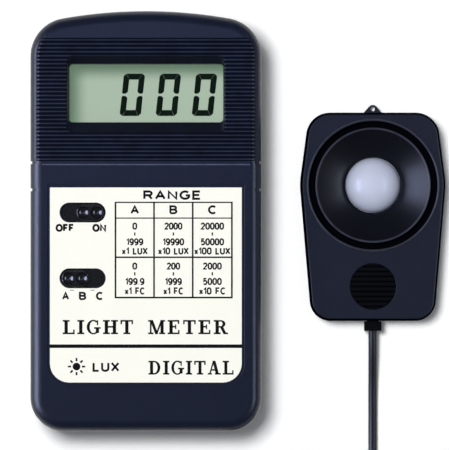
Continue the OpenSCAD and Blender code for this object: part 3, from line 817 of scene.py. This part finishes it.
# Plain letters and figures one unit high: width, then paths of the middle of each stroke
plain = {
    " ": (0.3, []),
    ".": (0.06, [([(0.03, 0), (0.03, 0.06)], False)]),
    "0": (0.56, [(oval(0.56), True)]),
    "1": (0.26, [([(0, 0.74), (0.26, 1), (0.26, 0)], False)]),
    "2": (0.56, [(curve(0.28, 0.72, 0.28, 0.28, 170, -35) + [(0, 0), (0.56, 0)], False)]),
    "5": (0.56, [([(0.5, 1), (0.1, 1), (0.03, 0.52)] + curve(0.27, 0.33, 0.29, 0.33, 118, -145), False)]),
    "9": (0.56, [([(x, y + 0.36) for x, y in oval(0.56, 0, 0.64)], True),
                 ([(0.56, 0.68)] + curve(0.2, 0.36, 0.36, 0.36, 0, -115, 7), False)]),
    "x": (0.44, [([(0, 0), (0.44, 0.66)], False), ([(0, 0.66), (0.44, 0)], False)]),
    "A": (0.7, [([(0, 0), (0.35, 1), (0.7, 0)], False), ([(0.13, 0.34), (0.57, 0.34)], False)]),
    "B": (0.58, [([(0, 0), (0, 1), (0.32, 1)] + curve(0.32, 0.76, 0.22, 0.24, 80, -80, 6) + [(0.05, 0.52)],
                  False),
                 ([(0.3, 0.52)] + curve(0.34, 0.26, 0.24, 0.26, 85, -85, 6) + [(0, 0)], False)]),
    "C": (0.64, [(curve(0.36, 0.5, 0.36, 0.5, 48, 312, 14), False)]),
    "E": (0.54, [([(0.54, 1), (0, 1), (0, 0), (0.54, 0)], False), ([(0, 0.52), (0.47, 0.52)], False)]),
    "F": (0.52, [([(0, 0), (0, 1), (0.52, 1)], False), ([(0, 0.5), (0.44, 0.5)], False)]),
    "G": (0.7, [(curve(0.37, 0.5, 0.37, 0.5, 48, 330, 14) + [(0.7, 0.46), (0.42, 0.46)], False)]),
    "L": (0.48, [([(0, 1), (0, 0), (0.48, 0)], False)]),
    "N": (0.62, [([(0, 0), (0, 1), (0.62, 0), (0.62, 1)], False)]),
    "O": (0.76, [(oval(0.76), True)]),
    "R": (0.6, [([(0, 0), (0, 1), (0.36, 1)] + curve(0.36, 0.74, 0.23, 0.26, 80, -80, 6) + [(0.05, 0.48)],
                 False),
                ([(0.36, 0.48), (0.6, 0)], False)]),
    "U": (0.6, [([(0, 1)] + curve(0.3, 0.3, 0.3, 0.3, 180, 360, 8) + [(0.6, 1)], False)]),
    "X": (0.64, [([(0, 0), (0.64, 1)], False), ([(0, 1), (0.64, 0)], False)]),
}


def sans(words, x, y, w, h, weight, spacing=0.34):
    """Plain lettering, centred on (x, y) and fitted to a width and a height."""
    total = sum(plain[c][0] for c in words) + spacing * (len(words) - 1)
    pen = 0
    for c in words:
        for path, closed in plain[c][1]:
            stroke_shape([(x + ((pen + px) / total - 0.5) * (w - weight), y + (py - 0.5) * (h - weight))
                          for px, py in path], weight, closed)
        pen += plain[c][0] + spacing


stem = 0.225
thin = 0.115


def rect(x0, x1, y0, y1):
    return [(x0, y0), (x1, y0), (x1, y1), (x0, y1)]


def slanted(x0, x1, w, y0=0, y1=1):
    """Stroke of width w that leans from x0 at the foot to x1 at the top."""
    return [(x0, y0), (x0 + w, y0), (x1 + w, y1), (x1, y1)]


def foot(x, y, half=0.23):
    return rect(x - half, x + half, y, y + thin)


def bowl(cx, cy, rx, ry, start, end, heavy, light):
    """Arc that is heavy at its sides and light at its top and bottom."""
    return curve(cx, cy, rx, ry, start, end, 16) + curve(cx, cy, rx - heavy, ry - light, end, start, 16)


def stem_at(x, serifs=(0, 1)):
    return [rect(x, x + stem, 0, 1)] + [foot(x + stem / 2, 0 if s == 0 else 1 - thin) for s in serifs]


# Letters with slab serifs, one unit high: width, then closed shapes
slab = {
    "L": (0.82, stem_at(0.12) + [rect(0.12, 0.8, 0, thin), rect(0.7, 0.8, 0, 0.32)]),
    "I": (0.46, stem_at(0.12)),
    "G": (0.94, [bowl(0.46, 0.5, 0.45, 0.52, 48, 312, 0.2, 0.1), rect(0.62, 0.84, 0.08, 0.46),
                 foot(0.73, 0.38, 0.22), rect(0.69, 0.78, 0.64, 0.98)]),
    "H": (1.0, stem_at(0.12) + stem_at(0.66) + [rect(0.3, 0.7, 0.46, 0.46 + thin)]),
    "T": (0.88, stem_at(0.33, (0,)) + [rect(0.02, 0.86, 1 - thin, 1), rect(0.02, 0.12, 0.7, 1),
                                       rect(0.76, 0.86, 0.7, 1)]),
    "M": (1.14, [rect(0.12, 0.23, 0, 1), rect(0.83, 1.04, 0, 1), slanted(0.48, 0.12, 0.2),
                 slanted(0.5, 0.85, 0.12), foot(0.18, 0, 0.18), foot(0.94, 0, 0.2),
                 foot(0.12, 1 - thin, 0.12), foot(0.98, 1 - thin, 0.16)]),
    "E": (0.86, stem_at(0.12) + [rect(0.12, 0.8, 0, thin), rect(0.12, 0.78, 1 - thin, 1),
                                 rect(0.12, 0.58, 0.47, 0.47 + thin), rect(0.7, 0.8, 0, 0.3),
                                 rect(0.68, 0.78, 0.72, 1), rect(0.5, 0.58, 0.36, 0.68)]),
    "R": (0.96, stem_at(0.12) + [bowl(0.44, 0.73, 0.35, 0.27, -90, 90, 0.2, 0.1),
                                 rect(0.3, 0.46, 1 - thin, 1),
                                 rect(0.3, 0.46, 0.46, 0.46 + thin), slanted(0.66, 0.42, 0.22, 0, 0.5),
                                 foot(0.82, 0, 0.14)]),
    "D": (0.94, stem_at(0.12) + [bowl(0.42, 0.5, 0.46, 0.5, -90, 90, 0.21, 0.1),
                                 rect(0.3, 0.44, 1 - thin, 1), rect(0.3, 0.44, 0, thin)]),
    "A": (0.96, [slanted(0.08, 0.38, 0.11), slanted(0.6, 0.34, 0.23), rect(0.22, 0.66, 0.28, 0.28 + thin),
                 foot(0.15, 0, 0.15), foot(0.74, 0, 0.21)]),
}


def serif(word, x0, x1, y0, y1, spacing=0.16):
    """Lettering with slab serifs, fitted between x0 and x1."""
    total = sum(slab[c][0] for c in word) + spacing * (len(word) - 1)
    pen = 0
    for c in word:
        for shape in slab[c][1]:
            ink_prism([(x0 + (pen + x) * (x1 - x0) / total, y0 + y * (y1 - y0)) for x, y in shape])
        pen += slab[c][0] + spacing


# Range table: rules, heads, and two groups of three lines in each column
columns = (-9.45, 2.55, 14.6, 26.8)
rows = (5.85, 0.95, -11.25, -23.8)
middles = [(a + b) / 2 for a, b in zip(columns, columns[1:])]
for x in columns:
    bar(x - 0.26, x + 0.26, rows[3] - 0.22, rows[0] + 0.2)
for y, t in zip(rows, (0.2, 0.18, 0.24, 0.26)):
    bar(columns[0], columns[3], y - t, y + t)
sans("RANGE", 8.2, 8.1, 18.0, 2.95, 0.68)
for c, x in zip("ABC", middles):
    sans(c, x, 3.55, 2.5 if c == "B" else 2.7, 2.8, 0.64)
table = (
    (("0", 1.5), ("1999", 5.3), ("x1 LUX", 8.1), ("0", 1.5), ("199.9", 6.0), ("x1 FC", 6.3)),
    (("2000", 5.6), ("19990", 6.7), ("x10 LUX", 9.6), ("200", 4.2), ("1999", 5.3), ("x1 FC", 6.3)),
    (("20000", 7.3), ("50000", 7.3), ("x100 LUX", 11.3), ("2000", 5.9), ("5000", 5.9), ("x10 FC", 8.3)),
)
line_ys = (-1.55, -6.45, -9.3, -14.0, -18.8, -21.75)
for x, column in zip(middles, table):
    for (words, w), y in zip(column, line_ys):
        sans(words, x, y, w, 2.25, 0.48, 0.3)
    for y in (-4.0, -16.4):
        bar(x - 0.22, x + 0.22, y - 0.5, y + 0.5)

# Switch positions and titles
sans("OFF", -25.2, -2.1, 5.8, 2.5, 0.66)
sans("ON", -14.5, -2.1, 4.3, 2.5, 0.66)
for c, x in zip("ABC", (-25.0, switch_x, -14.4)):
    sans(c, x, -23.3, 2.3, 2.6, 0.62)
serif("LIGHT", -25.9, -3.9, -35.2, -30.8)
serif("METER", 0.7, 25.6, -35.2, -30.8)
serif("DIGITAL", 0.8, 27.4, -47.8, -43.5, 0.14)
bar(label_low.x, label_high.x, -39.5, -38.4)

# A plain sun for light, and the unit that the meter reads in
sun_x, sun_y = -21.6, -45.3
ink_prism(curve(sun_x, sun_y, 1.2, 1.2, 0, 350, 35))
for k in range(8):
    a = pi / 4 * k
    along, beside = Vector((cos(a), sin(a))), Vector((-sin(a), cos(a)))
    corners = ((1.7, -0.3), (2.7, -0.24), (2.7, 0.24), (1.7, 0.3))
    ink_prism([tuple(Vector((sun_x, sun_y)) + along * r + beside * s) for r, s in corners])
sans("LUX", -12.4, -45.4, 8.4, 3.1, 0.66)
printed("label_print", ink)
for x in (-23.0, -16.6):
    bar(x - 0.65, x + 0.65, -21.66, -21.36)
printed("range_ticks", grey_ink)


# ---------------- display

lower_pane = 1.1  # the display is two panes; the lower one carries the contacts along its long edges
contact_l = 1.2
display_mid = (glass_low.y + glass_high.y) / 2
display_w = glass_high.x - glass_low.x
display_l = glass_high.y - glass_low.y
upper_l = display_l - 2 * contact_l
pane_split = glass_low.z + lower_pane
cell = loft("lcd_panes", [rounded_rectangle(display_w, length, display_mid, 0.3, z, 2) for length, z in
                          ((display_l, glass_low.z), (display_l, pane_split), (upper_l, pane_split),
                           (upper_l, glass_high.z - 0.1), (upper_l - 0.2, glass_high.z))])
smooth(cell)
place(cell, "meter", "lcd_cell", lcd_cell, "lcd_glass")

digit_w = 6.65
digit_h = 13.2
segment_w = 1.85
slant = tan(radians(6))
digit_y = 39.4
digit_xs = (-4.24, 6.99, 18.26)


def lit_zero():
    """The six lit bars of a 0, with their mitred ends."""
    w = digit_w / 2
    h = digit_h / 2
    t = segment_w
    cut = 0.8
    space = 0.01
    top = [(cut + space - w, h), (w - cut - space, h), (w - t - space, h - t), (t + space - w, h - t)]
    side = [(-w, h - cut), (cut * 0.96 - w, h - cut * 0.04 - space), (t - w, h - t - space), (t - w, 0.95),
            (t * 0.7 - w, 0.42), (t * 0.3 - w, 0.3), (0.05 - w, 0.6)]
    shapes = []
    for shape in (top, side, [(-x, y) for x, y in side]):
        shapes += [shape, [(x, -y) for x, y in shape]]
    return shapes


display_z = glass_high.z
segments = []
for x in digit_xs:
    for shape in lit_zero():
        flat = [(x + a + slant * b, digit_y + b) for a, b in shape]
        levels = (display_z - 0.02, display_z + 0.03)
        segments.append(loft("segment", [[(a, b, z) for a, b in flat] for z in levels]))
digits = join("lcd_digits", segments)
place(digits, "meter", "lcd_cell", digit_ink)


# ---------------- switch knobs


def ball(x, y, z, r, steps=12):
    arc = [radians(-90 + 180 * k / steps) for k in range(steps + 1)]
    profile = [(0, -r)] + [(r * cos(a), r * sin(a)) for a in arc[1:-1]] + [(0, r)]
    return turned("cut", profile, (x, y, z), steps=36)


def knob(name, body, node):
    """Sliding plate with a finger grip: two dents and the ridge that stays between them."""
    low, high = box_mm(node)
    x, y = (low.x + high.x) / 2, (low.y + high.y) / 2
    plate_top = low.z + 0.9
    made = block(name, (low.x, high.x), (low.y, high.y), (low.z, plate_top))
    grip = stack("grip", stadium(8.6, 5.2), [(0, plate_top - 0.2)] + round_top(0, case_top + 0.3, 0.6, 6),
                 (x, y))
    for side in (-1, 1):
        carve(grip, ball(x + side * 2.15, y, case_top + 1.55, 2.3))
    carve(made, grip, "UNION")
    carve(made, block("cut", (x - 2.05, x + 2.05), (y - 1.55, y + 1.55), (low.z - 1, low.z + 1.3)))
    complete(made, body, "knob_black", knob_black, node)


knob("power_grip", "power_slide", "power_knob")
knob("range_grip", "range_slide", "range_knob")


# ---------------- sensor head

head_top = head_high.z
head_split = head_low.z
waist = (0, 0, 22.8)
head_discs = [(-13.3, -36, 6.5), (13.3, -36, 6.5), waist, (13.4, 15.3, 7.5), (-13.4, 15.3, 7.5), waist]
head_outline = hull_outline(head_discs, 14)
head_screws = [(-16.5, 17.5), (16.5, 17.5), (-14.5, -36.5), (14.5, -36.5)]
lead_z = 4.2
dish_r = (dish_high.x - dish_low.x) / 2
at = (head_x, head_y)


def lead_bore():
    """Cutter for the lead's way in; its facets miss the plane where the shells part."""
    return turned("cut", [(0, 0), (1.95, 0), (1.95, 6), (0, 6)], (head_x, head_y - 44, lead_z + 0.02),
                  (0, 1, 0), 49)


def wire_room(bottom, top):
    """Cutter for the room under the rubber pad, between the dish and the lead."""
    return block("cut", (head_x - 11.5, head_x + 11.5), (head_y - 39.3, head_y - 15), (bottom, top))


pad_y = head_y - 31.7
pad_seat_r = 7.2
shell_levels = [(0.2, head_split), (0.05, head_split + 0.2), (0.55, head_top - 0.8)]
shell_levels += round_top(0.55, head_top, 0.6, 6)
shell = stack("sensor_shell", head_outline, shell_levels, at)
pad_seat = [(0, head_top - 1), (pad_seat_r, head_top - 1), (pad_seat_r, head_top - 0.15),
            (pad_seat_r + 0.2, head_top + 0.05), (pad_seat_r + 0.2, head_top + 1), (0, head_top + 1)]
carve(shell, turned("cut", pad_seat, (head_x, pad_y, 0), steps=96))
carve(shell, rod("cut", head_x, head_y, dish_r + 0.1, head_split - 1, head_top + 1, 128))
carve(shell, wire_room(head_split - 1, head_top - 2.2))
carve(shell, lead_bore())
for x, y in head_screws:
    carve(shell, rod("cut", head_x + x, head_y + y, 1, head_split - 1, 9, 32))
lip_r = dish_r + 0.52
lip_profile = [(lip_r + 0.36 * cos(a), head_top + 0.02 + 0.34 * sin(a))
               for a in [radians(30 * k) for k in range(12)]]
carve(shell, turned("lip", lip_profile, head_centre, steps=128), "UNION")
complete(shell, "sensor", "head_plastic", head_navy, "head_front")


def shell_finish(middle, normal):
    """1: painted shade on the steep side wall; 2: painted highlight on the lip round the dish."""
    if (middle - head_centre).xy.length > lip_r + 0.8:
        return 1 if abs(normal.z) < 0.7 else 0
    return 2 if middle.z > head_top + 0.03 else 0


paint(shell, (painted_shade_black, painted_rim_highlight), shell_finish)

# Rubber pad with cross ribs
pad_low, pad_high = box_mm("thumb_pad")
pad_r = (pad_high.x - pad_low.x) / 2
pad_line_pitch = 1.56
pad_line_half = 0.3
pad_line_d = 0.3
pad_profile = [(0, pad_low.z), (pad_r, pad_low.z)]
pad_profile += [(pad_r - inset, z) for inset, z in round_top(0, pad_high.z, 0.2, 4)] + [(0, pad_high.z)]
pad = turned("pad_ribs", pad_profile, ((pad_low.x + pad_high.x) / 2, (pad_low.y + pad_high.y) / 2, 0),
             steps=96)
for k in range(-4, 5):
    y = pad_y + pad_line_pitch * k
    carve(pad, block("cut", (pad_low.x - 1, pad_high.x + 1), (y - pad_line_half, y + pad_line_half),
                     (pad_high.z - pad_line_d, pad_high.z + 1)))
complete(pad, "sensor", "pad_rubber", pad_rubber, "thumb_pad")
# Painted shade: the pad's grooves are near-black.
paint(pad, (painted_shade_black,), lambda middle, normal: 1 if middle.z < pad_high.z - 0.1 else 0)

# Back plate: rooms inside, the collar under the dome's flange, and the pierced tab for a lanyard
plate_t = 1.4
back = stack("sensor_back", head_outline, round_bottom(0.3, 0, 0.9)
             + [(0, head_split - 0.8), (0, head_split - 0.15), (0.2, head_split)], at)
tab_outline = hull_outline([(-3, 22, 0.4), (3, 22, 0.4), (0, 23.8, 1.45)], 10)
tab = stack("tab", tab_outline, [(0.2, 1), (0, 1.2), (0, 2.8), (0.2, 3)], at)
carve(tab, rod("cut", head_x, head_y + 23.95, 0.72, 0, 4, 32))
carve(back, tab, "UNION")
carve(back, rod("cut", head_x, head_y, 18.6, plate_t, head_split + 1, 128))
carve(back, wire_room(plate_t, head_split + 1))
collar_bottom = plate_t - 0.2
collar_profile = [(9.7, collar_bottom), (11.3, collar_bottom), (11.3, 4.8), (9.7, 4.8)]
collar = turned("collar", collar_profile, head_centre, steps=96)
carve(collar, block("cut", (head_x - 3, head_x + 3), (head_y - 12, head_y - 8), (plate_t - 0.1, 5)))
carve(back, collar, "UNION")
carve(back, lead_bore())
head_well = [(0, -1), (2.1, -1), (2.1, 1.6), (1.1, 1.6), (1.1, 9), (0, 9)]
for x, y in head_screws:
    carve(back, turned("cut", head_well, (head_x + x, head_y + y, 0), steps=40))
complete(back, "sensor", "head_plastic", back_navy, "head_rear")

# Dish: a shallow bowl round the dome, its round rim with a painted highlight, and a sunk ledge outside the
# rim with painted shade
rim_r = 17.8
rim_z = dish_high.z
rim_tube_r = 0.3
bowl_r = 8.68
bowl_floor = 6.3
dish_bottom = 5.6
bowl_profile = [(bowl_r + (rim_r - 0.4 - bowl_r) * t, bowl_floor + (rim_z - 0.25 - bowl_floor) * t ** 1.25)
                for t in [k / 14 for k in range(15)]]
rim_profile = [(rim_r + rim_tube_r * cos(a), rim_z - rim_tube_r + rim_tube_r * sin(a))
               for a in [radians(150 - 20 * k) for k in range(9)]]
dish_profile = (
    [(bowl_r, dish_bottom)] + bowl_profile + rim_profile
    + [(rim_r + 0.35, 8.2), (dish_r - 0.5, 8.0), (dish_r - 0.15, 8.1), (dish_r, 8.3), (dish_r, head_split),
       (18.7, head_split), (18.7, 7.1), (17.3, 7.1), (16.8, 8.6), (11.9, dish_bottom)]
)
dish = turned("dish_bowl", dish_profile, head_centre, steps=128)
complete(dish, "sensor", "dish_black", dish_black, "dish", limit=40)


def dish_finish(middle, normal):
    """1: painted shade on the sunk ledge; 2: painted highlight on the rim."""
    out = (middle - head_centre).xy.length
    if middle.z > 7.9 and out > rim_r + 0.25:
        return 1
    return 2 if middle.z > rim_z - 0.25 and out > rim_r - 0.4 else 0


paint(dish, (painted_shade_black, painted_rim_highlight), dish_finish)

# Dome: a thin white shell on a flange
dome_r = 8.6
dome_seat = 5.5
flange_r = 11.2
flange_bottom = 4.8
skin = 1.2
rise = dome_high.z - dome_seat


def dome_arc(inset):
    """Profile of the dome's outer face, or of its inner one at an inset, from the seat to the axis."""
    return [((dome_r - inset) * cos(a), dome_seat + (rise - inset) * sin(a))
            for a in [radians(90 * k / 20) for k in range(20)]] + [(0, dome_high.z - inset)]


dome_profile = dome_arc(skin)[::-1] + [(dome_r - skin, flange_bottom), (flange_r, flange_bottom),
                                       (flange_r, dome_seat)]
dome = turned("diffuser", dome_profile + dome_arc(0), head_centre, steps=96)
complete(dome, "sensor", "dome_white", dome_white, "dome", limit=40)


# ---------------- lead and plug

cord.data.materials.append(cord_rubber)
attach(cord, "sensor")
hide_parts("cord_lead", "cord_coil", "cord_tail")

boot_profile = [(0, 0), (1.75, 0), (1.9, 0.25)]
for k in range(4):
    h = 1.0 + 1.9 * k
    r = 1.95 + 0.24 * k
    boot_profile += [(r, h), (r - 0.25, h + 0.25), (r - 0.25, h + 0.65), (r + 0.1, h + 0.9)]
boot_profile += [(3.0, 8.4), (3.0, 9), (0, 9)]
boot_end = (boot_high.x, (boot_low.y + boot_high.y) / 2, (boot_low.z + boot_high.z) / 2)
boot = turned("plug_boot_ribs", boot_profile, boot_end, (-1, 0, 0), 48)
smooth(boot, 40)
place(boot, "sensor", "gland_black", pad_rubber, "plug_boot")


# ---------------- stage and light

floor_half = 2500
floor_z = -0.05
floor_finish = surface("floor", (0.98, 0.98, 0.98, 1), rough=0.9, vary=0.004, cell=60, grain=2, depth=0.002,
                       specular=0.05)
floor_shader = floor_finish.node_tree.nodes["Principled BSDF"]
floor_shader.inputs["Emission Color"].default_value = (1, 1, 1, 1)
floor_shader.inputs["Emission Strength"].default_value = 0.05
floor_corners = [(x * floor_half, y * floor_half, floor_z) for x, y in ((-1, -1), (1, -1), (1, 1), (-1, 1))]
floor = mesh_object("floor", floor_corners, [(0, 1, 2, 3)])
floor.data.transform(Matrix.Scale(MM, 4))
floor.data.materials.append(floor_finish)


def softbox(name, side, up, distance, size, power, colour=(1, 1, 1), diffuse=True, glossy=True,
            aim=(24, 0, 15)):
    """Soft light at an azimuth (0 is +X, 90 is +Y) and an elevation from the place it is turned to."""
    data = bpy.data.lights.new(name, "AREA")
    data.shape = "RECTANGLE"
    data.size, data.size_y = size
    data.energy = power
    data.color = colour
    light = bpy.data.objects.new(name, data)
    bpy.context.scene.collection.objects.link(light)
    a, e = radians(side), radians(up)
    target = Vector(aim) * MM
    toward = Vector((cos(a) * cos(e), sin(a) * cos(e), sin(e)))
    light.location = target + distance * toward
    light.rotation_euler = (target - light.location).to_track_quat("-Z", "Y").to_euler()
    light.visible_camera = False
    light.visible_diffuse = diffuse
    light.visible_glossy = glossy
    light.visible_transmission = glossy


# Key and fill light the surfaces; the other lights only show as reflections
softbox("key", 140, 77, 1.5, (0.36, 0.36), 20.5, glossy=False)
softbox("fill", 90, 89.9, 1.6, (1.2, 1.2), 2, glossy=False)
softbox("left_low", 180, 17, 1.0, (0.9, 0.26), 5.5, (0.66, 0.73, 1), diffuse=False)
softbox("left_mid", 180, 38, 1.0, (0.7, 0.35), 9, (0.6, 0.66, 1), diffuse=False)
softbox("right_high", 0, 45, 1.0, (0.7, 0.17), 2.8, (0.72, 0.82, 1), diffuse=False)
softbox("overhead", 90, 89.9, 0.2, (0.12, 0.025), 0.024, (0.42, 0.46, 1), diffuse=False, aim=(0, 62, 25))
softbox("lamp", 180, 66, 1.0, (0.22, 0.22), 0.45, (0.75, 0.8, 1), diffuse=False, aim=(head_x, head_y, 8))

world = bpy.data.worlds.new("world")
world.use_nodes = True
sky = world.node_tree.nodes["Background"]
sky.inputs["Color"].default_value = (0.85, 0.92, 1, 1)
sky.inputs["Strength"].default_value = 0.11
bpy.context.scene.world = world
bpy.context.scene.view_settings.view_transform = "Standard"
bpy.context.scene.view_settings.look = "None"
